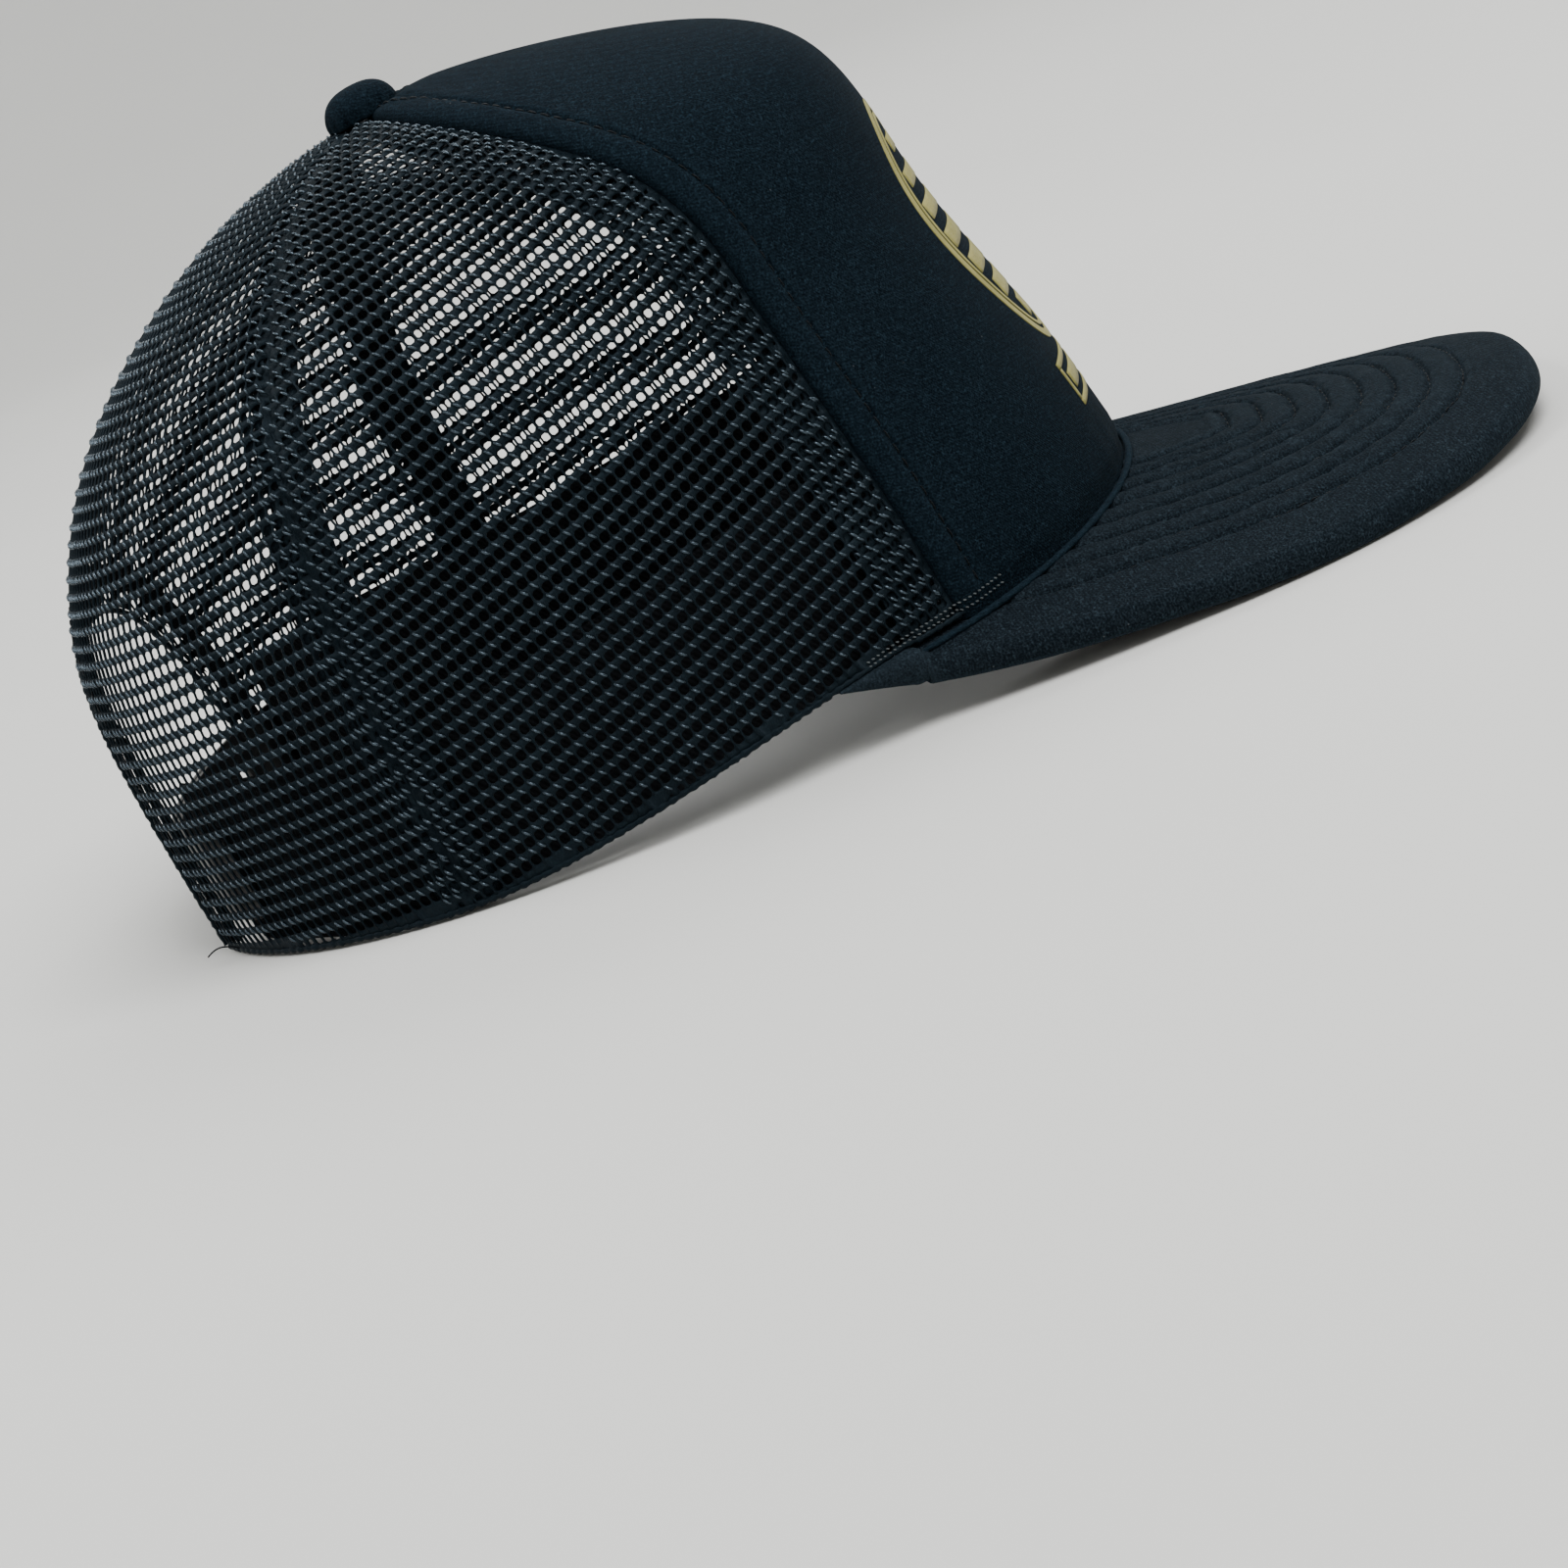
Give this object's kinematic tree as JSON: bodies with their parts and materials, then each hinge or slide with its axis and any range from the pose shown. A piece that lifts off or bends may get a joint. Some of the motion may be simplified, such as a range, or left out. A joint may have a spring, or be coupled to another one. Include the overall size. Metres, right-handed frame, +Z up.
{
  "type": "mesh back cap",
  "caption": "Black trucker cap with a padded foam front, open net sides and back, a stitched curved visor and a plastic snap strap.",
  "frame": {"origin": "under the middle of the cap's bounding box, on the table the cap stands on", "axes": "+Z up from the table, -Y forwards along the visor, -X towards the wearer's right"},
  "size_m": [0.1684, 0.2812, 0.1378],
  "materials": {
    "knit_cloth": "smooth matt black knit",
    "foam": "dark open foam",
    "lining_cloth": "thin black tricot",
    "net": "stiff warp-knitted net with a slight sheen",
    "seam_tape": "plain black woven tape",
    "sweatband_cloth": "brushed black cloth",
    "visor_board": "moulded sheet",
    "strap_plastic": "satin black moulding",
    "button_metal": "plain stamped steel"
  },
  "bodies": {
    "crown": {"front_panel_cover": "knit_cloth", "front_panel_foam": "foam", "front_panel_lining": "lining_cloth", "side_mesh_right": "net", "side_mesh_left": "net", "rear_mesh_right": "net", "rear_mesh_left": "net", "front_seam_tape_right": "seam_tape", "front_seam_tape_left": "seam_tape", "side_seam_tape_right": "seam_tape", "side_seam_tape_left": "seam_tape", "center_back_seam_tape": "seam_tape", "arch_tape": "seam_tape", "sweatband": "sweatband_cloth", "visor_top_cover": "knit_cloth", "visor_foam": "foam", "visor_board": "visor_board", "visor_under_cover": "knit_cloth", "visor_seam_welt": "seam_tape", "button_cover": "knit_cloth", "button_shell": "button_metal", "button_rivet": "button_metal", "hole_strap_tab": "strap_plastic", "peg_strap_tab": "strap_plastic"},
    "hole_strap": {"hole_strap": "strap_plastic"},
    "peg_strap": {"peg_strap": "strap_plastic"}
  },
  "joints": [
    {"name": "hole_strap_swing", "type": "hinge", "parent": "crown", "child": "hole_strap", "pos_m": [0.03945, 0.13002, 0.01362], "axis": [0, -0.1063, -0.9943], "range_deg": [0, 65]},
    {"name": "peg_strap_flex", "type": "hinge", "parent": "crown", "child": "peg_strap", "pos_m": [-0.039, 0.1286, 0.01377], "axis": [0, -0.1063, -0.9943], "range_deg": [0, 30]}
  ]
}
